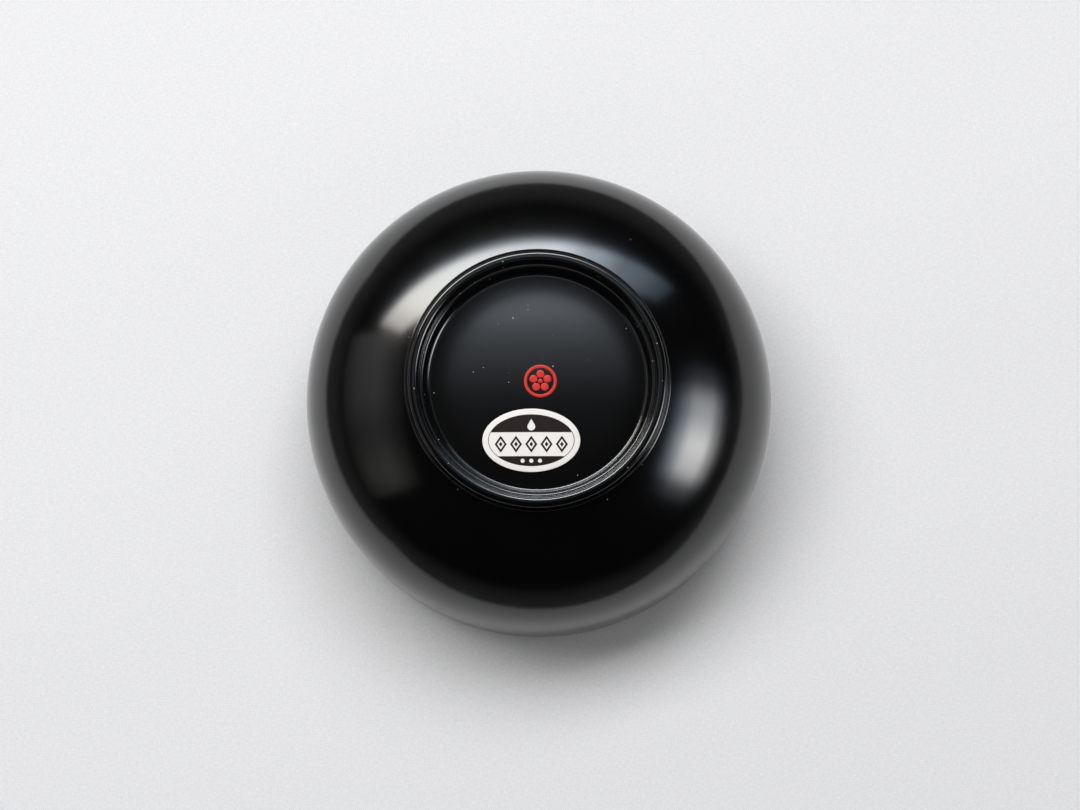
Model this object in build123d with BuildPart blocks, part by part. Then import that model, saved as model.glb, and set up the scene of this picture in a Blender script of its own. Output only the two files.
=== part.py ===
"""Lacquered soup bowl, standing mouth down on its rim with the foot ring on top.

The rim lies on the plane Z = 0 and the bowl's turning axis is Z. A turned wooden core carries
three coats of lacquer: one outside, one inside and one in the hollow of the foot. The hollow has
a stepped side and a gently domed floor. A painted seal and an oval label, a white film with dark
print, follow that dome.
"""
import os
from math import asin, cos, radians, sin, sqrt

from build123d import *

os.makedirs("parts", exist_ok=True)

# ---- Driving dimensions, millimetres ----
BELLY_RADIUS = 59.0  # finished outside, at the widest turn
BELLY_HEIGHT = 22.5  # height of the widest turn above the rim
RIM_RADIUS = 58.6  # finished outside, at the rim
RIM_THICKNESS = 3.1
BELLY_THICKNESS = 3.8
BOWL_HEIGHT = 62.2  # rim to foot land

# From belly to axis both walls follow (r / radius) ** flatness + (z / rise) ** fullness = 1
FULLNESS = 2.3
OUTSIDE_RISE = 42.4
OUTSIDE_FLATNESS = 2.0
INSIDE_RISE = 28.3
INSIDE_FLATNESS = 3.0
CURVE_STEPS = 12  # points that carry each curve

FOOT_BASE_RADIUS = 32.0  # where the foot grows out of the shoulder
FOOT_LAND_RADIUS = 31.1  # outer edge of the flat land
RECESS_MOUTH_RADIUS = 29.3  # inner edge of the flat land
RECESS_FLOOR_RADIUS = 26.6
RECESS_DEPTH = 6.2  # at the edge of its floor
STEP_OUTER_RADIUS = 28.45  # small step round the side of the hollow
STEP_INNER_RADIUS = 27.9
STEP_DEPTH = 2.9  # under the foot land
DOME_RADIUS = 190.0  # sphere that the hollow's floor follows

LACQUER = 0.4  # thickness of each coat
RIM_ROUND = 0.9
CORE_RIM_CHAMFER = 0.7
FOOT_ROOT_ROUND = 0.8
FOOT_LAND_ROUND = 1.2
RECESS_MOUTH_ROUND = 0.6
STEP_LIP_ROUND = 0.4
STEP_ROOT_ROUND = 0.1
RECESS_CORNER_ROUND = 0.6

SEAL_X = 0.7  # seal centre, from the bowl's axis
SEAL_Y = -0.1
SEAL_RADIUS = 4.0
SEAL_RING_WIDTH = 0.75
SEAL_PETALS = 5
SEAL_PETAL_RADIUS = 0.95
SEAL_PETAL_ORBIT = 1.75
SEAL_BUD_RADIUS = 0.55
SEAL_THICKNESS = 0.08

LABEL_X = -1.5  # label centre, from the bowl's axis
LABEL_Y = -14.5
LABEL_LENGTH = 23.7
LABEL_WIDTH = 15.3
LABEL_FILM = 0.12  # film thickness
LABEL_INK = 0.05  # print thickness
LABEL_BORDER = 1.4  # white border round the print
BAND_TOP = 1.95  # edges of the white band across the print, from the label's centre
BAND_BOTTOM = -3.85
KEY_LINE = 0.14  # fine line that closes the band at its ends

LOZENGES = 5  # row of outlined lozenges along the band
LOZENGE_PITCH = 3.7
LOZENGE_LENGTH = 2.9
LOZENGE_HEIGHT = 4.1
LOZENGE_HOLE = 0.62  # size of the opening, as a share of the lozenge
LOZENGE_SEED = 0.3  # size of the solid middle, as a share of the lozenge
DROP_RADIUS = 0.95  # water drop left white in the upper field
DROP_Y = 3.3
DOTS = 3  # dots left white in the lower field
DOT_RADIUS = 0.5
DOT_PITCH = 2.1
DOT_Y = -4.95

# ---- Heights and radii that follow ----
FLOOR_HEIGHT = BOWL_HEIGHT - RECESS_DEPTH
STEP_HEIGHT = BOWL_HEIGHT - STEP_DEPTH
DOME_CENTRE = FLOOR_HEIGHT - sqrt(DOME_RADIUS**2 - RECESS_FLOOR_RADIUS**2)
LAND_MIDDLE = (FOOT_LAND_RADIUS + RECESS_MOUTH_RADIUS) / 2
INSIDE_RADIUS = BELLY_RADIUS - BELLY_THICKNESS
RIM_INSIDE = RIM_RADIUS - RIM_THICKNESS
PRINT_HALF_LENGTH = LABEL_LENGTH / 2 - LABEL_BORDER
PRINT_HALF_WIDTH = LABEL_WIDTH / 2 - LABEL_BORDER


def turned_curve(radius, rise, flatness):
    """Wall from the belly to the axis, as a spline through points of its formula."""
    angles = [radians(90 * step / CURVE_STEPS) for step in range(CURVE_STEPS)]
    points = [
        (radius * cos(angle) ** (2 / flatness), BELLY_HEIGHT + rise * sin(angle) ** (2 / FULLNESS))
        for angle in angles
    ]
    return Spline(*points, (0, BELLY_HEIGHT + rise), tangents=[(0, 1), (-1, 0)])


def foot_root_height(depth):
    """Height at which the foot meets the shoulder, at a depth under the finish."""
    share = (FOOT_BASE_RADIUS - depth) / (BELLY_RADIUS - depth)
    return BELLY_HEIGHT + (OUTSIDE_RISE - depth) * (1 - share**OUTSIDE_FLATNESS) ** (1 / FULLNESS)


def bowl_section(depth):
    """Half section of the bowl on XZ, with every surface but the rim at a depth under the finish."""
    root = foot_root_height(depth)
    land = BOWL_HEIGHT - depth
    step = STEP_HEIGHT - depth
    crown = BELLY_HEIGHT + OUTSIDE_RISE
    mouth = RECESS_MOUTH_RADIUS + depth
    corner = RECESS_FLOOR_RADIUS + depth
    dome = DOME_RADIUS - depth
    floor = DOME_CENTRE + sqrt(dome**2 - corner**2)
    half_swing = asin(corner / dome) / 2
    dome_middle = (dome * sin(half_swing), DOME_CENTRE + dome * cos(half_swing))
    with BuildSketch(Plane.XZ) as section:
        with BuildLine():
            outside = turned_curve(BELLY_RADIUS - depth, OUTSIDE_RISE - depth, OUTSIDE_FLATNESS)
            wall = TangentArc(outside @ 0, (RIM_RADIUS - depth, 0), tangent=(0, -1))
            inside = turned_curve(INSIDE_RADIUS + depth, INSIDE_RISE + depth, INSIDE_FLATNESS)
            lip = TangentArc(inside @ 0, (RIM_INSIDE + depth, 0), tangent=(0, -1))
            Line(wall @ 1, lip @ 1)
            Line(outside @ 1, inside @ 1)
        make_face()
        foot = [(0, root), (FOOT_BASE_RADIUS - depth, root), (FOOT_LAND_RADIUS - depth, land), (0, land)]
        Polygon(*foot, align=None)
        with BuildLine():
            swell = ThreePointArc((0, DOME_CENTRE + dome), dome_middle, (corner, floor))
            ledge = [(STEP_INNER_RADIUS + depth, step), (STEP_OUTER_RADIUS + depth, step)]
            Polyline(swell @ 1, *ledge, (mouth, land), (mouth, crown), (0, crown), swell @ 0)
        make_face(mode=Mode.SUBTRACT)
    return section.sketch


def edge_ring(turned, radius, height):
    """The circular edge of a turned part that is nearest to a radius and a height."""
    rings = turned.edges().filter_by(GeomType.CIRCLE)
    return min(rings, key=lambda ring: abs(ring.radius - radius) + abs(ring.arc_center.Z - height))


# ---- The bowl as finished, which the coats are cut from ----
with BuildPart() as finished:
    revolve(bowl_section(0), axis=Axis.Z)
    fillet(edge_ring(finished, RIM_RADIUS, 0), RIM_ROUND)
    fillet(edge_ring(finished, RIM_INSIDE, 0), RIM_ROUND)
    fillet(edge_ring(finished, FOOT_BASE_RADIUS, foot_root_height(0)), FOOT_ROOT_ROUND)
    fillet(edge_ring(finished, FOOT_LAND_RADIUS, BOWL_HEIGHT), FOOT_LAND_ROUND)
    fillet(edge_ring(finished, RECESS_MOUTH_RADIUS, BOWL_HEIGHT), RECESS_MOUTH_ROUND)
    fillet(edge_ring(finished, STEP_OUTER_RADIUS, STEP_HEIGHT), STEP_ROOT_ROUND)
    fillet(edge_ring(finished, STEP_INNER_RADIUS, STEP_HEIGHT), STEP_LIP_ROUND)
    fillet(edge_ring(finished, RECESS_FLOOR_RADIUS, FLOOR_HEIGHT), RECESS_CORNER_ROUND)

# ---- Wooden core, bare only on the flat of the rim ----
with BuildPart() as bowl_core:
    revolve(bowl_section(LACQUER), axis=Axis.Z)
    chamfer(edge_ring(bowl_core, RIM_RADIUS - LACQUER, 0), CORE_RIM_CHAMFER)
    chamfer(edge_ring(bowl_core, RIM_INSIDE + LACQUER, 0), CORE_RIM_CHAMFER)
    foot_root = edge_ring(bowl_core, FOOT_BASE_RADIUS - LACQUER, foot_root_height(LACQUER))
    fillet(foot_root, FOOT_ROOT_ROUND + LACQUER)
    recess_corner = edge_ring(bowl_core, RECESS_FLOOR_RADIUS + LACQUER, FLOOR_HEIGHT - LACQUER)
    fillet(recess_corner, RECESS_CORNER_ROUND + LACQUER)

# ---- Lacquer: what lies between the finish and the core, parted on the foot land ----
with BuildPart() as coats:
    add(finished.part)
    add(bowl_core.part, mode=Mode.SUBTRACT)

inside_coat, outside_coat = coats.solids().sort_by(lambda coat: coat.bounding_box().max.Z)

with BuildPart() as foot_hollow:
    with BuildSketch(Plane.XY.offset(FLOOR_HEIGHT - RECESS_DEPTH)):
        Circle(LAND_MIDDLE)
    extrude(amount=3 * RECESS_DEPTH)

with BuildPart() as inner_lacquer:
    add(inside_coat)

with BuildPart() as outer_lacquer:
    add(outside_coat)
    add(foot_hollow.part, mode=Mode.SUBTRACT)

with BuildPart() as recess_lacquer:
    add(outside_coat)
    add(foot_hollow.part, mode=Mode.INTERSECT)


def keep_on_dome(lift, thickness):
    """Cuts the open part down to a film on the hollow's floor, lifted off it by what lies under."""
    with Locations((0, 0, DOME_CENTRE)):
        Sphere(DOME_RADIUS + lift + thickness, mode=Mode.INTERSECT)
        Sphere(DOME_RADIUS + lift, mode=Mode.SUBTRACT)


# ---- Painted seal: a five-petal blossom in a ring ----
with BuildPart() as seal_mark:
    with BuildSketch(Plane.XY.offset(FLOOR_HEIGHT)):
        with Locations((SEAL_X, SEAL_Y)):
            Circle(SEAL_RADIUS)
            Circle(SEAL_RADIUS - SEAL_RING_WIDTH, mode=Mode.SUBTRACT)
            Circle(SEAL_BUD_RADIUS)
            with PolarLocations(SEAL_PETAL_ORBIT, SEAL_PETALS, start_angle=90):
                Circle(SEAL_PETAL_RADIUS)
    extrude(amount=RECESS_DEPTH)
    keep_on_dome(0, SEAL_THICKNESS)

# ---- Oval label: white film, and the dark print on it ----
with BuildPart() as label_film:
    with BuildSketch(Plane.XY.offset(FLOOR_HEIGHT)):
        with Locations((LABEL_X, LABEL_Y)):
            Ellipse(LABEL_LENGTH / 2, LABEL_WIDTH / 2)
    extrude(amount=RECESS_DEPTH)
    keep_on_dome(0, LABEL_FILM)


def lozenge(share, mode):
    """A lozenge on the label's band, at a share of its full size."""
    half_length = share * LOZENGE_LENGTH / 2
    half_height = share * LOZENGE_HEIGHT / 2
    corners = [(half_length, 0), (0, half_height), (-half_length, 0), (0, -half_height)]
    Polygon(*corners, align=None, mode=mode)


with BuildPart() as label_print:
    with BuildSketch(Plane.XY.offset(FLOOR_HEIGHT)):
        with Locations((LABEL_X, LABEL_Y)):
            Ellipse(PRINT_HALF_LENGTH, PRINT_HALF_WIDTH)
        with Locations((LABEL_X, LABEL_Y + (BAND_TOP + BAND_BOTTOM) / 2)):
            Rectangle(LABEL_LENGTH, BAND_TOP - BAND_BOTTOM, mode=Mode.SUBTRACT)
            with GridLocations(LOZENGE_PITCH, 0, LOZENGES, 1):
                lozenge(1, Mode.ADD)
                lozenge(LOZENGE_HOLE, Mode.SUBTRACT)
                lozenge(LOZENGE_SEED, Mode.ADD)
        with Locations((LABEL_X, LABEL_Y + DROP_Y)):
            Circle(DROP_RADIUS, mode=Mode.SUBTRACT)
        with Locations((LABEL_X, LABEL_Y + DROP_Y + DROP_RADIUS)):
            RegularPolygon(DROP_RADIUS, 3, rotation=90, mode=Mode.SUBTRACT)
        with Locations((LABEL_X, LABEL_Y + DOT_Y)):
            with GridLocations(DOT_PITCH, 0, DOTS, 1):
                Circle(DOT_RADIUS, mode=Mode.SUBTRACT)
    with BuildSketch(Plane.XY.offset(FLOOR_HEIGHT)):
        with Locations((LABEL_X, LABEL_Y)):
            Ellipse(PRINT_HALF_LENGTH, PRINT_HALF_WIDTH)
            Ellipse(PRINT_HALF_LENGTH - KEY_LINE, PRINT_HALF_WIDTH - KEY_LINE, mode=Mode.SUBTRACT)
    extrude(amount=RECESS_DEPTH)
    keep_on_dome(LABEL_FILM, LABEL_INK)

# ---- One STEP file for each piece ----
pieces = {
    "bowl_core": bowl_core,
    "outer_lacquer": outer_lacquer,
    "inner_lacquer": inner_lacquer,
    "recess_lacquer": recess_lacquer,
    "seal_mark": seal_mark,
    "label_film": label_film,
    "label_print": label_print,
}
for name, piece in pieces.items():
    piece.part.label = name
    export_step(piece.part, f"parts/{name}.step")
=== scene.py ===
"""Looks of the lacquered soup bowl, which stands mouth down on white cloth with its foot up.

The bowl's coats and core are closed lathe meshes on its axis, the mark and the label's film are
turned about their own middles, and the label's print is cut from outlines. Lengths are written in
millimetres and stored in metres.
"""
from math import asin, cos, pi, radians, sin, sqrt, tan

import bmesh
import bpy
from mathutils import Matrix, Vector


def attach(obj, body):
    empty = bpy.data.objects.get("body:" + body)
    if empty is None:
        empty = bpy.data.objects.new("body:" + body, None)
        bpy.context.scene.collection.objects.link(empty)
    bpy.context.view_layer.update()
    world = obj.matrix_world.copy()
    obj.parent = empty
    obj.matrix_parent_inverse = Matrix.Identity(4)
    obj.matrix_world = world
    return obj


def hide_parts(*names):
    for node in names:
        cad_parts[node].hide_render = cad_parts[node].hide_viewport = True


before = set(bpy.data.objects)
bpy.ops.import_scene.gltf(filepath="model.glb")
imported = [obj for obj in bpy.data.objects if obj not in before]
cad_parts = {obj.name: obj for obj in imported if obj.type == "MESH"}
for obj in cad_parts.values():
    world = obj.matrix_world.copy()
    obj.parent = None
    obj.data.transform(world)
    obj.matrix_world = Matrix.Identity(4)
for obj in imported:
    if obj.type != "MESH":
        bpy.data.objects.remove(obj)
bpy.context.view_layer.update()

MM = 0.001

# ---- The bowl's turned shape, millimetres from the rim plane and the axis ----
BELLY_RADIUS = 59.0
BELLY_HEIGHT = 22.5
RIM_RADIUS = 58.6
RIM_INSIDE = 55.5
INSIDE_RADIUS = 55.2
FULLNESS = 2.3
OUTSIDE_RISE = 42.4
OUTSIDE_FLATNESS = 2.0
INSIDE_RISE = 28.3
INSIDE_FLATNESS = 3.0
FOOT_BASE_RADIUS = 32.0
FOOT_LAND_RADIUS = 31.1
LAND_MIDDLE = 30.2
RECESS_MOUTH_RADIUS = 29.3
RECESS_FLOOR_RADIUS = 26.6
BOWL_HEIGHT = 62.2
FLOOR_HEIGHT = 56.0
RIM_ROUND = 0.9
FOOT_ROOT_ROUND = 0.8
FOOT_LAND_ROUND = 1.2
RECESS_MOUTH_ROUND = 0.6
RECESS_CORNER_ROUND = 0.6
STEP_OUTER_RADIUS = 28.45  # small step round the side of the foot's hollow
STEP_INNER_RADIUS = 27.9
STEP_HEIGHT = 59.3
STEP_LIP_ROUND = 0.4
STEP_ROOT_ROUND = 0.1
DOME_RADIUS = 190.0  # the hollow's floor swells gently towards its middle
COAT = 0.3  # lacquer over the core
CORE_GAP = 0.04  # keeps the wood just clear of the back of the lacquer
TURN_STEPS = 192  # facets round the axis
BELOW_STEPS = 8  # facets of a wall under the belly
ABOVE_STEPS = 46  # facets of a wall over the belly
CROWDING = 1.15  # gathers the facets towards the belly
DOME_STEPS = 20  # facets of the hollow's floor
SUPPORT = 0.03  # distance of the points that hold a rounded edge's flats

# ---- Mark and label ----
SEAL_X = 0.7
SEAL_Y = -0.1
SEAL_RADIUS = 4.0
SEAL_RING_WIDTH = 0.75
SEAL_PETALS = 5
SEAL_PETAL_RADIUS = 0.95
SEAL_PETAL_ORBIT = 1.75
SEAL_BUD_RADIUS = 0.55
SEAL_THICKNESS = 0.1
PAINT_STEPS = 6  # facets of a drop of paint, from its edge to its top
PAINT_FLATNESS = 0.6
BEAD_STEPS = 8
BEAD_FLATNESS = 0.7
LABEL_X = -1.5
LABEL_Y = -14.5
LABEL_LENGTH = 23.7
LABEL_WIDTH = 15.3
LABEL_FILM = 0.12
LABEL_INK = 0.05
LABEL_BORDER = 1.4
FILM_ROUND = 0.05
FILM_SHOULDER = 0.3  # share of it by which the middle of the round is in from the corner
FILM_STEPS = 16  # rings of the film from its middle to its edge
WELD = 0.0001  # points nearer than this to a cut lie on it
MERGE = 0.002  # points of the print nearer to each other than this are one
PRINT_CUT = 1.1  # the print is cut this finely, so that it bends with the floor
PRINT_CUTS = 10  # cuts on each side of its middle
BAND_TOP = 1.95
BAND_BOTTOM = -3.85
KEY_LINE = 0.14
LOZENGES = 5
LOZENGE_PITCH = 3.7
LOZENGE_LENGTH = 2.9
LOZENGE_HEIGHT = 4.1
LOZENGE_HOLE = 0.62
LOZENGE_SEED = 0.3
DROP_RADIUS = 0.95
DROP_Y = 3.3
DROP_START = -210  # degrees where the drop's round part begins
DROP_SWEEP = 240
DROP_STEPS = 24
DOTS = 3
DOT_RADIUS = 0.5
DOT_PITCH = 2.1
DOT_Y = -4.95


def srgb(code):
    """Linear colour of an sRGB hex code."""
    parts = [int(code[place:place + 2], 16) / 255 for place in (1, 3, 5)]
    linear = [part / 12.92 if part <= 0.04045 else ((part + 0.055) / 1.055) ** 2.4
              for part in parts]
    return (*linear, 1.0)


# ---------------------------------------------------------------- shapes

def wall_point(radius, rise, flatness, angle):
    """A point of a wall that follows (r / radius) ** flatness + (z / rise) ** FULLNESS = 1."""
    height = BELLY_HEIGHT + rise * sin(angle) ** (2 / FULLNESS)
    return (radius * cos(angle) ** (2 / flatness), height)


def wall(radius, rise, flatness, end_radius, rim_radius):
    """Wall from the rim up over the belly and in to end_radius."""
    below = []
    for step in range(BELOW_STEPS):
        height = BELLY_HEIGHT * step / BELOW_STEPS
        lean = (1 - height / BELLY_HEIGHT) ** 2
        below.append((radius - (radius - rim_radius) * lean, height))
    last = pi / 2
    if end_radius > 0:
        last = asin(sqrt(1 - (end_radius / radius) ** flatness))
    above = []
    for step in range(ABOVE_STEPS + 1):
        share = step / ABOVE_STEPS
        above.append(wall_point(radius, rise, flatness, last * share ** CROWDING))
    return below + above


def rounded(points, at, radius, steps=10):
    """The polyline with its corner at index at turned into an arc of that radius.

    A point just before and one just after the arc keep the flats beside it flat in the shading.
    """
    corner = Vector(points[at])
    before = Vector(points[at - 1])
    after = Vector(points[at + 1])
    into = (before - corner).normalized()
    out = (after - corner).normalized()
    half = into.angle(out) / 2
    reach = radius / tan(half)
    centre = corner + (into + out).normalized() * radius / sin(half)
    start = corner + into * reach - centre
    end = corner + out * reach - centre
    sweep = start.angle_signed(end)
    arc = []
    for step in range(steps + 1):
        turn = -sweep * step / steps
        arc.append((centre.x + start.x * cos(turn) - start.y * sin(turn),
                    centre.y + start.x * sin(turn) + start.y * cos(turn)))
    head = [p for p in points[:at] if (Vector(p) - corner).length > reach]
    tail = [p for p in points[at + 1:] if (Vector(p) - corner).length > reach]
    if (before - corner).length > reach + 2 * SUPPORT:
        head.append(tuple(corner + into * (reach + SUPPORT)))
    if (after - corner).length > reach + 2 * SUPPORT:
        tail.insert(0, tuple(corner + out * (reach + SUPPORT)))
    return head + arc + tail


def under(points, depth):
    """The polyline moved to its left by depth: a copy of a skin inside the bowl's wall."""
    moved = []
    for index, point in enumerate(points):
        here = Vector(point)
        before = Vector(points[max(index - 1, 0)])
        after = Vector(points[min(index + 1, len(points) - 1)])
        along = (after - here).normalized() + (here - before).normalized()
        along.normalize()
        moved.append((here.x - along.y * depth, here.y + along.x * depth))
    return moved


def turn(mesh, section, centre=(0.0, 0.0), steps=TURN_STEPS, squeeze=1.0):
    """Adds a closed solid turned from a closed section of (radius, height) points about centre.

    squeeze scales it along Y, for an oval.
    """
    rings = []
    for radius, height in section:
        count = steps if radius > 1e-6 else 1
        ring = []
        for step in range(count):
            angle = 2 * pi * step / steps
            east = centre[0] + radius * cos(angle)
            north = centre[1] + radius * sin(angle) * squeeze
            ring.append(mesh.verts.new((east * MM, north * MM, height * MM)))
        rings.append(ring)
    for ring, other in zip(rings, rings[1:] + rings[:1]):
        if len(ring) + len(other) == 2:
            continue
        for step in range(steps):
            corners = []
            for circle, at in ((ring, step), (ring, step + 1), (other, step + 1), (other, step)):
                corner = circle[at % len(circle)]
                if corner not in corners:
                    corners.append(corner)
            mesh.faces.new(corners)


def lathe(name, section):
    """Closed piece turned from a section on the bowl's axis."""
    mesh = bmesh.new()
    turn(mesh, section)
    return finished(name, mesh)


def finished(name, mesh, sharp=35):
    """Object made from a bmesh, faces outward, smooth but for edges sharper than an angle."""
    bmesh.ops.recalc_face_normals(mesh, faces=mesh.faces)
    for face in mesh.faces:
        face.smooth = True
    for edge in mesh.edges:
        edge.smooth = edge.calc_face_angle(0) < radians(sharp)
    data = bpy.data.meshes.new(name)
    mesh.to_mesh(data)
    mesh.free()
    piece = bpy.data.objects.new(name, data)
    bpy.context.scene.collection.objects.link(piece)
    return piece


def floor_at(radius):
    """Height of the domed floor of the foot's hollow at a distance from the axis."""
    edge_height = sqrt(DOME_RADIUS ** 2 - RECESS_FLOOR_RADIUS ** 2)  # over the dome's centre
    return FLOOR_HEIGHT + sqrt(DOME_RADIUS ** 2 - radius ** 2) - edge_height


# Outside skin: from the middle of the rim, up the wall, over the foot's root to the land
RIM_MIDDLE = (RIM_RADIUS + RIM_INSIDE) / 2
outer_wall = wall(BELLY_RADIUS, OUTSIDE_RISE, OUTSIDE_FLATNESS, FOOT_BASE_RADIUS, RIM_RADIUS)
outer_skin = [(RIM_MIDDLE, 0.0)] + outer_wall
outer_skin += [(FOOT_LAND_RADIUS, BOWL_HEIGHT), (LAND_MIDDLE, BOWL_HEIGHT)]
outer_skin = rounded(outer_skin, len(outer_skin) - 2, FOOT_LAND_ROUND)
root = outer_skin.index(outer_wall[-1])
outer_skin = rounded(outer_skin, root, FOOT_ROOT_ROUND)
outer_skin = rounded(outer_skin, 1, RIM_ROUND)

# Skin of the hollow in the foot: from the land down the side and over the floor to the axis
recess_skin = [(LAND_MIDDLE, BOWL_HEIGHT), (RECESS_MOUTH_RADIUS, BOWL_HEIGHT),
               (STEP_OUTER_RADIUS, STEP_HEIGHT), (STEP_INNER_RADIUS, STEP_HEIGHT)]
for step in range(DOME_STEPS + 1):
    radius = RECESS_FLOOR_RADIUS * (1 - step / DOME_STEPS)
    recess_skin.append((radius, floor_at(radius)))
rounds = (RECESS_MOUTH_ROUND, STEP_ROOT_ROUND, STEP_LIP_ROUND, RECESS_CORNER_ROUND)
for corner in range(len(rounds), 0, -1):  # from the last, which leaves the others' places alone
    recess_skin = rounded(recess_skin, corner, rounds[corner - 1])

# Inside skin: from the axis down the wall to the middle of the rim
inner_wall = wall(INSIDE_RADIUS, INSIDE_RISE, INSIDE_FLATNESS, 0, RIM_INSIDE)
inner_skin = inner_wall[::-1] + [(RIM_MIDDLE, 0.0)]
inner_skin = rounded(inner_skin, len(inner_skin) - 2, RIM_ROUND)


# ---------------------------------------------------------------- materials

def put(tree, kind, links=None, **settings):
    """Adds a node. links maps a socket to a value or to the socket that feeds it."""
    made = tree.nodes.new(kind)
    for key, value in settings.items():
        setattr(made, key, value)
    for socket, value in (links or {}).items():
        if isinstance(value, bpy.types.NodeSocket):
            tree.links.new(value, made.inputs[socket])
        else:
            made.inputs[socket].default_value = value
    return made


WAVE_UNIT = pi / 10  # a wave texture of scale 1 repeats every pi / 10


def per(millimetres):
    """Texture scale whose pattern repeats about once in that many millimetres."""
    return 1 / (millimetres * MM)


def blank(name):
    """Empty node material, its tree and its object coordinates."""
    material = bpy.data.materials.new(name)
    material.use_nodes = True
    tree = material.node_tree
    tree.nodes.clear()
    return material, tree, put(tree, "ShaderNodeTexCoord").outputs["Object"]


def close(tree, shader):
    """Ends a material with its surface."""
    put(tree, "ShaderNodeOutputMaterial", {"Surface": shader.outputs["BSDF"]})


MOTE_SPACING = 1.2  # millimetres between the spots where a dust mote may lie
MOTE_SIZE = 0.38
DUST_FROM = 57.2  # above this height, round the foot, the dust lies more thickly
DUST_FULL = 58.4
CLOUD_SIZE = 16  # soft clouds in the black
WIPE_SIZE = 9  # patches left by the polishing cloth


def motes(tree, place, share):
    """1 on the dust motes, which lie on a share of the spots of a loose grid."""
    cells = put(tree, "ShaderNodeTexVoronoi", {"Vector": place, "Scale": per(MOTE_SPACING)})
    chance = put(tree, "ShaderNodeSeparateColor", {"Color": cells.outputs["Color"]})
    reach = put(tree, "ShaderNodeMath", {
        0: chance.outputs["Green"], 1: MOTE_SIZE / 2 / MOTE_SPACING}, operation="MULTIPLY")
    near = put(tree, "ShaderNodeMath", {
        0: cells.outputs["Distance"], 1: reach.outputs[0]}, operation="LESS_THAN")
    chosen = put(tree, "ShaderNodeMath", {
        0: chance.outputs["Red"], 1: share}, operation="LESS_THAN")
    both = put(tree, "ShaderNodeMath", {
        0: near.outputs[0], 1: chosen.outputs[0]}, operation="MULTIPLY")
    return both.outputs[0]


def lacquer(name, deep, bloom, dust, roughness, spread, grain, grain_height,
            flat_dust, side_dust, clear_coat):
    """Black lacquer: thin coats, brushed or sprayed, rubbed down and polished.

    deep and bloom are the two blacks that it clouds between, grain and grain_height the
    millimetres of its fine unevenness, and flat_dust and side_dust the shares of dust.
    """
    material, tree, place = blank(name)
    cloud = put(tree, "ShaderNodeTexNoise", {
        "Vector": place, "Scale": per(CLOUD_SIZE), "Detail": 4.0})
    tint = put(tree, "ShaderNodeMix", {
        "Factor": cloud.outputs["Fac"], "A": srgb(deep), "B": srgb(bloom)}, data_type="RGBA")
    height = put(tree, "ShaderNodeSeparateXYZ", {"Vector": place})
    caught = put(tree, "ShaderNodeMapRange", {
        "Value": height.outputs["Z"], "From Min": DUST_FROM * MM, "From Max": DUST_FULL * MM,
        "To Min": flat_dust, "To Max": side_dust})
    specks = motes(tree, place, caught.outputs["Result"])
    colour = put(tree, "ShaderNodeMix", {
        "Factor": specks, "A": tint.outputs["Result"], "B": srgb(dust)}, data_type="RGBA")
    wiped = put(tree, "ShaderNodeTexNoise", {
        "Vector": place, "Scale": per(WIPE_SIZE), "Detail": 5.0, "Roughness": 0.6})
    sheen = put(tree, "ShaderNodeMapRange", {
        "Value": wiped.outputs["Fac"], "From Min": 0.3, "From Max": 0.7,
        "To Min": roughness - spread, "To Max": roughness + spread})
    fine = put(tree, "ShaderNodeTexNoise", {"Vector": place, "Scale": per(grain), "Detail": 2.0})
    skin = put(tree, "ShaderNodeBump", {
        "Height": fine.outputs["Fac"], "Distance": grain_height * MM})
    shader = put(tree, "ShaderNodeBsdfPrincipled", {
        "Base Color": colour.outputs["Result"], "Roughness": sheen.outputs["Result"],
        "Normal": skin.outputs["Normal"], "IOR": 1.53,
        "Coat Weight": clear_coat, "Coat Roughness": 0.1, "Coat IOR": 1.5})
    close(tree, shader)
    return material


# Urethane-hardened urushi, polished: deep black with a clear but slightly soft reflection
GLOSS_LACQUER = lacquer(
    "polished_black_urushi", deep="#030303", bloom="#070606", dust="#8f8c88",
    roughness=0.14, spread=0.015, grain=1.6, grain_height=0.001,
    flat_dust=0.012, side_dust=0.1, clear_coat=0.0)
# The hollow of the foot: softer black under a clear sprayed coat, with more dust caught in it
SATIN_LACQUER = lacquer(
    "satin_black_urushi", deep="#060606", bloom="#0a0a0a", dust="#9c9a96",
    roughness=0.16, spread=0.012, grain=0.6, grain_height=0.0003,
    flat_dust=0.06, side_dust=0.35, clear_coat=0.85)

BRUSH_STREAK = 0.7  # millimetres, width of a hair streak in the red paint
FILM_TOOTH = 0.35  # the label's coating is finer still, too fine to show
FILM_CLOUD = 6
INK_MOTTLE = 0.5
YEAR_RING = 3
TOOL_RING = 0.5


def vermilion_paint():
    """Vermilion urushi laid on with a fine brush: warm red, softly domed, half gloss."""
    material, tree, place = blank("vermilion_urushi")
    streak = put(tree, "ShaderNodeTexNoise", {"Vector": place, "Scale": per(BRUSH_STREAK),
                                              "Detail": 3.0, "Distortion": 0.6})
    colour = put(tree, "ShaderNodeMix", {
        "Factor": streak.outputs["Fac"], "A": srgb("#b8180e"), "B": srgb("#e02e1e")},
        data_type="RGBA")
    worn = put(tree, "ShaderNodeMapRange", {
        "Value": streak.outputs["Fac"], "To Min": 0.34, "To Max": 0.5})
    skin = put(tree, "ShaderNodeBump", {
        "Height": streak.outputs["Fac"], "Distance": 0.02 * MM, "Strength": 0.6})
    close(tree, put(tree, "ShaderNodeBsdfPrincipled", {
        "Base Color": colour.outputs["Result"], "Roughness": worn.outputs["Result"],
        "Normal": skin.outputs["Normal"], "IOR": 1.5, "Specular IOR Level": 0.3}))
    return material


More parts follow.
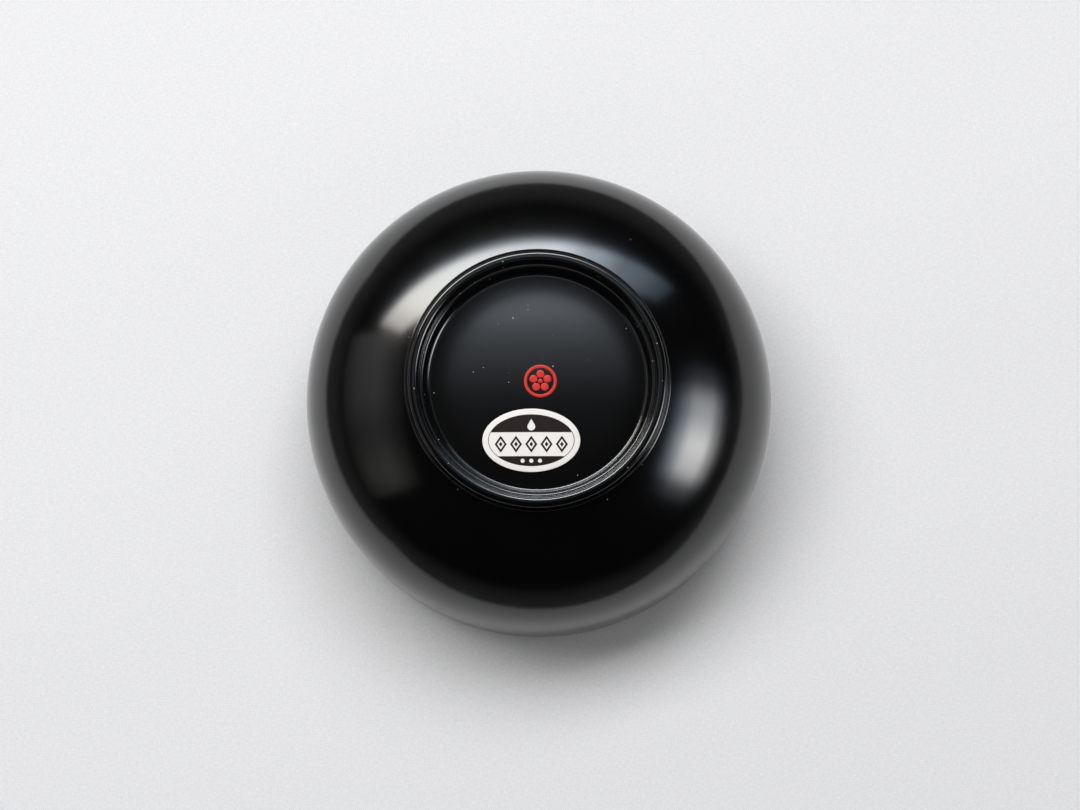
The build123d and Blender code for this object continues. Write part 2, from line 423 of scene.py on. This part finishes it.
def label_stock():
    """Coated white label film: bright, with the faint tooth of its coating."""
    material, tree, place = blank("coated_label_film")
    tooth = put(tree, "ShaderNodeTexNoise", {
        "Vector": place, "Scale": per(FILM_TOOTH), "Detail": 3.0})
    cloud = put(tree, "ShaderNodeTexNoise", {
        "Vector": place, "Scale": per(FILM_CLOUD), "Detail": 2.0})
    colour = put(tree, "ShaderNodeMix", {
        "Factor": cloud.outputs["Fac"], "A": srgb("#ece8e4"), "B": srgb("#f6f3ef")},
        data_type="RGBA")
    worn = put(tree, "ShaderNodeMapRange", {
        "Value": tooth.outputs["Fac"], "To Min": 0.5, "To Max": 0.62})
    skin = put(tree, "ShaderNodeBump", {
        "Height": tooth.outputs["Fac"], "Distance": 0.01 * MM, "Strength": 0.5})
    close(tree, put(tree, "ShaderNodeBsdfPrincipled", {
        "Base Color": colour.outputs["Result"], "Roughness": worn.outputs["Result"],
        "Normal": skin.outputs["Normal"], "IOR": 1.45}))
    return material


def label_print_ink():
    """Offset-printed brown-black ink: slightly uneven cover over the white."""
    material, tree, place = blank("brown_black_printing_ink")
    cover = put(tree, "ShaderNodeTexNoise", {
        "Vector": place, "Scale": per(INK_MOTTLE), "Detail": 4.0})
    colour = put(tree, "ShaderNodeMix", {
        "Factor": cover.outputs["Fac"], "A": srgb("#120908"), "B": srgb("#261613")},
        data_type="RGBA")
    worn = put(tree, "ShaderNodeMapRange", {
        "Value": cover.outputs["Fac"], "To Min": 0.45, "To Max": 0.6})
    close(tree, put(tree, "ShaderNodeBsdfPrincipled", {
        "Base Color": colour.outputs["Result"], "Roughness": worn.outputs["Result"], "IOR": 1.48,
        "Specular IOR Level": 0.25}))
    return material


def turned_wood():
    """Zelkova turned on the lathe: stretched growth rings, and fine tool rings up the wall."""
    material, tree, place = blank("turned_zelkova")
    stretch = put(tree, "ShaderNodeMapping", {"Vector": place, "Scale": (1.0, 0.25, 1.0)})
    year = put(tree, "ShaderNodeTexNoise", {"Vector": stretch.outputs[0], "Scale": per(YEAR_RING),
                                            "Detail": 5.0, "Distortion": 1.2})
    tool = put(tree, "ShaderNodeTexWave", {
        "Vector": place, "Scale": per(TOOL_RING) * WAVE_UNIT}, bands_direction="Z")
    colour = put(tree, "ShaderNodeMix", {
        "Factor": year.outputs["Fac"], "A": srgb("#8a5a32"), "B": srgb("#c99a63")},
        data_type="RGBA")
    skin = put(tree, "ShaderNodeBump", {
        "Height": tool.outputs["Fac"], "Distance": 0.03 * MM, "Strength": 0.5})
    worn = put(tree, "ShaderNodeMapRange", {
        "Value": year.outputs["Fac"], "To Min": 0.55, "To Max": 0.75})
    close(tree, put(tree, "ShaderNodeBsdfPrincipled", {
        "Base Color": colour.outputs["Result"], "Roughness": worn.outputs["Result"],
        "Normal": skin.outputs["Normal"], "IOR": 1.5}))
    return material


THREAD_PITCH = 0.5  # millimetres; the real threads are about half that, too fine to show
THREAD_LENGTH = 0.3  # squeezes the slubs' pattern along a thread, so that they run long
SLUB_WIDTH = 0.32
CLOTH_TURN = -4  # degrees by which the threads are out of line with the bowl's axes
GLOW_FROM = 0.4  # metres from the bowl
GLOW_FULL = 1.8


def white_cloth():
    """Plain-woven white cloth: fine threads cross over and under, some thicker than the rest.

    Far from the bowl it glows softly, which stands in for the room's light out there.
    """
    material, tree, place = blank("plain_woven_white_cloth")
    turned = put(tree, "ShaderNodeMapping", {
        "Vector": place, "Rotation": (0, 0, radians(CLOTH_TURN))})
    scale = per(THREAD_PITCH) * WAVE_UNIT
    threads = []
    for way, stretch in (("X", (1, THREAD_LENGTH, 1)), ("Y", (THREAD_LENGTH, 1, 1))):
        wave = put(tree, "ShaderNodeTexWave", {
            "Vector": turned.outputs[0], "Scale": scale, "Distortion": 0.8,
            "Detail": 2.0, "Detail Scale": 0.5}, bands_direction=way)
        drawn = put(tree, "ShaderNodeMapping", {"Vector": turned.outputs[0], "Scale": stretch})
        slub = put(tree, "ShaderNodeTexNoise", {
            "Vector": drawn.outputs[0], "Scale": per(SLUB_WIDTH), "Detail": 1.0})
        thread = put(tree, "ShaderNodeMath", {
            0: wave.outputs["Fac"], 1: 0.3, 2: slub.outputs["Fac"]}, operation="MULTIPLY_ADD")
        threads.append(thread.outputs[0])
    weave = put(tree, "ShaderNodeMath", {0: threads[0], 1: threads[1]}, operation="MULTIPLY")
    colour = put(tree, "ShaderNodeMix", {
        "Factor": weave.outputs[0], "A": srgb("#e4e4e6"), "B": srgb("#fcfcfd")}, data_type="RGBA")
    skin = put(tree, "ShaderNodeBump", {
        "Height": weave.outputs[0], "Distance": 0.03 * MM, "Strength": 0.5})
    away = put(tree, "ShaderNodeVectorMath", {0: place}, operation="LENGTH")
    glow = put(tree, "ShaderNodeMapRange", {
        "Value": away.outputs["Value"], "From Min": GLOW_FROM, "From Max": GLOW_FULL,
        "To Max": 0.55})
    close(tree, put(tree, "ShaderNodeBsdfPrincipled", {
        "Base Color": colour.outputs["Result"], "Roughness": 0.85,
        "Normal": skin.outputs["Normal"], "IOR": 1.45, "Specular IOR Level": 0.2,
        "Emission Color": (1.0, 1.0, 1.0, 1.0), "Emission Strength": glow.outputs["Result"]}))
    return material


# ---------------------------------------------------------------- pieces

def place(piece, node, slot, material):
    """Gives a piece its finish, hangs it on the root body and hides the CAD node that it stands in
    for.
    """
    piece.data.materials.append(material)
    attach(piece, "root")
    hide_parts(node)


def coat(name, skin):
    """Closed shell of lacquer between a skin of the bowl and the core."""
    return lathe(name, skin + under(skin, COAT)[::-1])


def lay_on_floor(mesh):
    """Bends a flat mesh, drawn with its underside at height 0, to lie on the domed floor."""
    for vert in mesh.verts:
        vert.co.z += floor_at(vert.co.xy.length / MM) * MM
    return mesh


def drop_of_paint(radius, height):
    """Section of a drop of thick paint, flatter on top than a ball."""
    section = [(0.0, 0.0)]
    for step in range(PAINT_STEPS):
        angle = pi / 2 * step / PAINT_STEPS
        section.append((radius * cos(angle) ** PAINT_FLATNESS, height * sin(angle)))
    return section + [(0.0, height)]


def oval(half_length, half_width, start, end, steps=48):
    """Points on the label's oval from one angle to another, about the label's centre."""
    angles = [start + (end - start) * step / steps for step in range(steps + 1)]
    return [(half_length * cos(angle), half_width * sin(angle)) for angle in angles]


def circle(x, y, radius, steps=32):
    """Points round a circle, about the label's centre."""
    return [(x + radius * cos(2 * pi * step / steps), y + radius * sin(2 * pi * step / steps))
            for step in range(steps)]


def print_outlines():
    """Outlines of the print: a dark oval, what is left white in it, and the row of lozenges."""
    half_length = LABEL_LENGTH / 2 - LABEL_BORDER
    half_width = LABEL_WIDTH / 2 - LABEL_BORDER
    inner_length = half_length - KEY_LINE
    inner_width = half_width - KEY_LINE
    rise = asin(BAND_TOP / inner_width)
    fall = asin(BAND_BOTTOM / inner_width)
    outlines = [oval(half_length, half_width, 0, 2 * pi, 120)[:-1]]
    outlines.append(oval(inner_length, inner_width, fall, rise)
                    + oval(inner_length, inner_width, pi - rise, pi - fall))
    middle = (BAND_TOP + BAND_BOTTOM) / 2
    for index in range(LOZENGES):
        x = (index - (LOZENGES - 1) / 2) * LOZENGE_PITCH
        for share in (1, LOZENGE_HOLE, LOZENGE_SEED):
            half_wide = share * LOZENGE_LENGTH / 2
            half_tall = share * LOZENGE_HEIGHT / 2
            outlines.append([(x + half_wide, middle), (x, middle + half_tall),
                             (x - half_wide, middle), (x, middle - half_tall)])
    drop = []
    for step in range(DROP_STEPS + 1):
        angle = radians(DROP_START + DROP_SWEEP * step / DROP_STEPS)
        drop.append((DROP_RADIUS * cos(angle), DROP_Y + DROP_RADIUS * sin(angle)))
    outlines.append(drop + [(0.0, DROP_Y + 2 * DROP_RADIUS)])
    for index in range(DOTS):
        outlines.append(circle((index - (DOTS - 1) / 2) * DOT_PITCH, DOT_Y, DOT_RADIUS))
    return outlines


def printed():
    """The label's print, cut from its outlines to a thin closed solid on the film."""
    curve = bpy.data.curves.new("print_outlines", "CURVE")
    curve.dimensions = "2D"
    curve.fill_mode = "BOTH"
    curve.extrude = LABEL_INK / 2 * MM
    for outline in print_outlines():
        spline = curve.splines.new("POLY")
        spline.points.add(len(outline) - 1)
        for point, (x, y) in zip(spline.points, outline):
            point.co = ((LABEL_X + x) * MM, (LABEL_Y + y) * MM, 0.0, 1.0)
        spline.use_cyclic_u = True
    flat = bpy.data.objects.new("print_outlines", curve)
    mesh = bmesh.new()
    mesh.from_mesh(bpy.data.meshes.new_from_object(flat))
    bpy.data.objects.remove(flat)
    bmesh.ops.remove_doubles(mesh, verts=mesh.verts, dist=MERGE * MM)
    for axis in ((1, 0, 0), (0, 1, 0)):
        for step in range(-PRINT_CUTS, PRINT_CUTS + 1):
            cut = Vector((LABEL_X, LABEL_Y, 0)) * MM + Vector(axis) * step * PRINT_CUT * MM
            every = mesh.verts[:] + mesh.edges[:] + mesh.faces[:]
            bmesh.ops.bisect_plane(mesh, geom=every, dist=WELD * MM, plane_co=cut, plane_no=axis)
    bmesh.ops.translate(mesh, verts=mesh.verts, vec=(0, 0, (LABEL_FILM + LABEL_INK / 2) * MM))
    return finished("label_print_ink", lay_on_floor(mesh))


place(coat("outer_lacquer_coat", outer_skin), "outer_lacquer", "gloss_lacquer", GLOSS_LACQUER)
place(coat("recess_lacquer_coat", recess_skin), "recess_lacquer", "satin_lacquer",
      SATIN_LACQUER)
place(coat("inner_lacquer_coat", inner_skin), "inner_lacquer", "gloss_lacquer", GLOSS_LACQUER)

core_section = []
for skin in (inner_skin, outer_skin, recess_skin):
    core_section = core_section[:-1] + under(skin, COAT + CORE_GAP)
place(lathe("turned_core", core_section), "bowl_core", "core_wood", turned_wood())

# The seal: drops of paint for bud and petals, and a bead for the ring
mesh = bmesh.new()
turn(mesh, drop_of_paint(SEAL_BUD_RADIUS, SEAL_THICKNESS), (SEAL_X, SEAL_Y), 24)
for petal in range(SEAL_PETALS):
    angle = pi / 2 + 2 * pi * petal / SEAL_PETALS
    at = (SEAL_X + SEAL_PETAL_ORBIT * cos(angle), SEAL_Y + SEAL_PETAL_ORBIT * sin(angle))
    turn(mesh, drop_of_paint(SEAL_PETAL_RADIUS, SEAL_THICKNESS), at, 32)
bead = []
for step in range(BEAD_STEPS + 1):
    angle = pi * step / BEAD_STEPS
    east = SEAL_RADIUS - SEAL_RING_WIDTH / 2 + SEAL_RING_WIDTH / 2 * cos(angle)
    bead.append((east, SEAL_THICKNESS * abs(sin(angle)) ** BEAD_FLATNESS))
turn(mesh, bead, (SEAL_X, SEAL_Y), 96)
place(finished("blossom_seal", lay_on_floor(mesh)), "seal_mark", "seal_red", vermilion_paint())

# The label: a die-cut oval of film with a softly rounded edge, and the print on it
edge = LABEL_LENGTH / 2
steps_in = [edge * step / FILM_STEPS for step in range(FILM_STEPS)]
section = [(radius, 0.0) for radius in steps_in]
section += [(edge, 0.0), (edge, LABEL_FILM - FILM_ROUND),
            (edge - FILM_ROUND * FILM_SHOULDER, LABEL_FILM - FILM_ROUND * FILM_SHOULDER),
            (edge - FILM_ROUND, LABEL_FILM)]
section += [(radius, LABEL_FILM) for radius in reversed(steps_in)]
mesh = bmesh.new()
turn(mesh, section, (LABEL_X, LABEL_Y), 128, LABEL_WIDTH / LABEL_LENGTH)
place(finished("oval_label_film", lay_on_floor(mesh)), "label_film", "label_white", label_stock())
place(printed(), "label_print", "label_ink", label_print_ink())

# ---------------------------------------------------------------- stage

CLOTH_WEST, CLOTH_EAST = -165.0, 330.0
CLOTH_SOUTH, CLOTH_NORTH = -150.0, 140.0
FLOOR_REACH = 4000.0
CLOTH_TOP = -0.02
CLOTH_UNDERSIDE = -0.6
PINHOLE = 0.01  # the cloth's slab has an opening in its middle, too small to see


def slab(name, outer, inner):
    """Flat slab just under the rim plane, from an outer rectangle in to an inner one."""
    mesh = bmesh.new()
    rings = []
    for west, east, south, north, height in ((*inner, CLOTH_TOP), (*outer, CLOTH_TOP),
                                             (*outer, CLOTH_UNDERSIDE), (*inner, CLOTH_UNDERSIDE)):
        corners = ((west, south), (east, south), (east, north), (west, north))
        rings.append([mesh.verts.new((x * MM, y * MM, height * MM)) for x, y in corners])
    for ring, other in zip(rings, rings[1:] + rings[:1]):
        for step in range(4):
            mesh.faces.new((ring[step], ring[step - 1], other[step - 1], other[step]))
    floor = finished(name, mesh)
    floor.data.materials.append(CLOTH)
    return floor


CLOTH = white_cloth()
cloth_edge = (CLOTH_WEST, CLOTH_EAST, CLOTH_SOUTH, CLOTH_NORTH)
slab("white_cloth", cloth_edge, (-PINHOLE, PINHOLE, -PINHOLE, PINHOLE))
floor_edge = (-FLOOR_REACH, FLOOR_REACH, -FLOOR_REACH, FLOOR_REACH)
beyond = slab("studio_floor", floor_edge, cloth_edge)
beyond.visible_glossy = False  # the bowl mirrors the cloth and a dark room beyond it

AIM = Vector((0, 0, 0.045))  # the spot that the lamps face, in metres


def lamp(name, azimuth, elevation, distance, width, height, radiance, across, upward,
         upright=False):
    """Softbox that faces the bowl. across and upward shade it: (place from 0 to 1, sRGB code).

    The first two stops of each are its ends. Sizes and distances are in metres.
    """
    direction = Vector((cos(radians(azimuth)) * cos(radians(elevation)),
                        sin(radians(azimuth)) * cos(radians(elevation)),
                        sin(radians(elevation))))
    data = bpy.data.lights.new(name, "AREA")
    data.shape = "RECTANGLE"
    data.size = width
    data.size_y = height
    data.energy = radiance * pi * width * height
    data.use_nodes = True
    tree = data.node_tree
    tree.nodes.clear()
    geometry = put(tree, "ShaderNodeNewGeometry")
    spot = put(tree, "ShaderNodeSeparateXYZ", {"Vector": geometry.outputs["Parametric"]})
    shades = []
    for side, stops in (("X", across), ("Y", upward)):
        ramp = put(tree, "ShaderNodeValToRGB", {"Fac": spot.outputs[side]})
        ramp.color_ramp.interpolation = "EASE"
        for index, (at, code) in enumerate(stops):
            stops_made = ramp.color_ramp.elements
            stop = stops_made[index] if index < 2 else stops_made.new(at)
            stop.position = at
            stop.color = srgb(code)
        shades.append(ramp.outputs["Color"])
    both = put(tree, "ShaderNodeVectorMath", {0: shades[0], 1: shades[1]}, operation="MULTIPLY")
    glow = put(tree, "ShaderNodeEmission", {"Color": both.outputs[0], "Strength": 1.0})
    put(tree, "ShaderNodeOutputLight", {"Surface": glow.outputs[0]})
    made = bpy.data.objects.new(name, data)
    made.location = AIM + direction * distance
    facing = Vector((direction.x, direction.y, 0)) if upright else direction
    made.rotation_euler = (-facing).to_track_quat("-Z", "Y").to_euler()
    made.visible_camera = False
    bpy.context.scene.collection.objects.link(made)
    return made


EVEN = [(0.0, "#ffffff"), (1.0, "#ffffff")]
PALE_BLUE = [(0.0, "#e6f2ff"), (1.0, "#e6f2ff")]

# The lamps that the lacquer mirrors don't light the cloth, and the lamp that lights the cloth
# isn't mirrored, so that the gleams and the shadow can each be set on their own.
window = lamp(
    "window", azimuth=97, elevation=37, distance=1.569, width=3.5, height=0.775, radiance=17.5,
    across=[(0.0, "#343e44"), (1.0, "#96948e"), (0.22, "#667078"), (0.33, "#a8b0b8"),
            (0.42, "#f0f4f8"), (0.65, "#fffffc"), (0.8, "#fbf9f2"), (0.95, "#c8c4be")],
    upward=[(0.0, "#000000"), (1.0, "#ffffff"), (0.11, "#56626c"), (0.27, "#fafcff")],
    upright=True)
window.visible_diffuse = False
key = lamp(
    "overhead_softbox", azimuth=110, elevation=68, distance=0.9, width=1.1, height=0.42,
    radiance=5.8, across=EVEN, upward=EVEN)
key.visible_glossy = False
ceiling = lamp(
    "round_ceiling_light", azimuth=92, elevation=81.7, distance=1.2, width=0.69, height=0.69,
    radiance=1.45, across=PALE_BLUE,
    upward=[(0.0, "#ffffff"), (1.0, "#000000"), (0.1, "#f1f1f1"), (0.21, "#b4b4b4"),
            (0.32, "#8c8c8c"), (0.43, "#6c6c6c"), (0.53, "#464646"), (0.64, "#2a2a2a")])
ceiling.data.shape = "ELLIPSE"
ceiling.visible_diffuse = False
right = lamp(
    "side_softbox", azimuth=-10, elevation=22, distance=1.0, width=0.93, height=0.72,
    radiance=12.5,
    across=[(0.0, "#000000"), (1.0, "#000000"), (0.13, "#3f4447"), (0.3, "#e8e8e8"),
            (0.42, "#ffffff"), (0.66, "#b8bcc0"), (0.86, "#30353a")],
    upward=[(0.0, "#000000"), (1.0, "#12161a"), (0.12, "#3c3c3c"), (0.27, "#a0a0a0"),
            (0.42, "#ffffff"), (0.66, "#ffffff"), (0.82, "#a2aab4"), (0.92, "#5a646e")])
right.visible_diffuse = False
left = lamp(
    "pale_wall", azimuth=182, elevation=20, distance=1.0, width=1.0, height=0.7, radiance=0.74,
    across=[(0.0, "#ffffff"), (1.0, "#c4c4c0"), (0.35, "#e8e8e8"), (0.6, "#b4b4b4"),
            (0.85, "#e4e4e0")],
    upward=[(0.0, "#909090"), (1.0, "#909090"), (0.4, "#e6e6e6"), (0.62, "#ffffff")])
left.visible_diffuse = False

# ---------------------------------------------------------------- room, camera

ROOM_SEEN = 0.8  # strength of the room behind the stage
ROOM_FILL = 0.24  # its light on the cloth
ROOM_MIRRORED = 0.012  # what polished lacquer sees of it
TABLE_MIRRORED = 0.13  # and of the table beyond the cloth
HORIZON_TOP = 0.05  # height of a ray's direction where the room begins
HORIZON_FOOT = -0.15  # and where the table has taken over

world = bpy.data.worlds.new("room")
bpy.context.scene.world = world
world.use_nodes = True
tree = world.node_tree
tree.nodes.clear()
ray = put(tree, "ShaderNodeLightPath")
around = put(tree, "ShaderNodeTexCoord")
aim = put(tree, "ShaderNodeSeparateXYZ", {"Vector": around.outputs["Generated"]})
below = put(tree, "ShaderNodeMapRange", {
    "Value": aim.outputs["Z"], "From Min": HORIZON_TOP, "From Max": HORIZON_FOOT,
    "To Min": ROOM_MIRRORED, "To Max": TABLE_MIRRORED})
mirrored = put(tree, "ShaderNodeMix", {
    "Factor": ray.outputs["Is Glossy Ray"], "A": ROOM_FILL, "B": below.outputs["Result"]})
seen = put(tree, "ShaderNodeMix", {
    "Factor": ray.outputs["Is Camera Ray"], "A": mirrored.outputs["Result"], "B": ROOM_SEEN})
back = put(tree, "ShaderNodeBackground", {
    "Color": (1.0, 1.0, 1.0, 1.0), "Strength": seen.outputs["Result"]})
put(tree, "ShaderNodeOutputWorld", {"Surface": back.outputs[0]})

CAMERA_TILT = 8.31  # degrees off the vertical, towards the near side
CAMERA_SWING = 3.52  # degrees to the right of the near side
CAMERA_DISTANCE = 700.0  # millimetres from the middle of the belly
AIM_X = 0.31  # the camera looks just beside the middle
AIM_Y = -0.86
SENSOR = 36.0
LENS = 91.466667  # focal length; the belly fills 0.43 of the picture's width
NEAR_CLIP = 0.01
FAR_CLIP = 20

belly = Vector((0, 0, BELLY_HEIGHT))
direction = Vector((sin(radians(CAMERA_TILT)) * sin(radians(CAMERA_SWING)),
                    -sin(radians(CAMERA_TILT)) * cos(radians(CAMERA_SWING)),
                    cos(radians(CAMERA_TILT))))
eye = (belly + direction * CAMERA_DISTANCE) * MM
target = (belly + Vector((AIM_X, AIM_Y, 0))) * MM
backward = (eye - target).normalized()
rightward = Vector((0, 1, 0)).cross(backward).normalized()
upward = backward.cross(rightward)
lens = bpy.data.cameras.new("camera")
lens.sensor_fit = "HORIZONTAL"
lens.sensor_width = SENSOR
lens.lens = LENS
lens.clip_start = NEAR_CLIP
lens.clip_end = FAR_CLIP
camera = bpy.data.objects.new("camera", lens)
turned = Matrix((rightward, upward, backward)).transposed().to_4x4()
camera.matrix_world = Matrix.Translation(eye) @ turned
bpy.context.scene.collection.objects.link(camera)
bpy.context.scene.camera = camera
bpy.context.scene.view_settings.view_transform = "Standard"
bpy.context.scene.view_settings.look = "None"
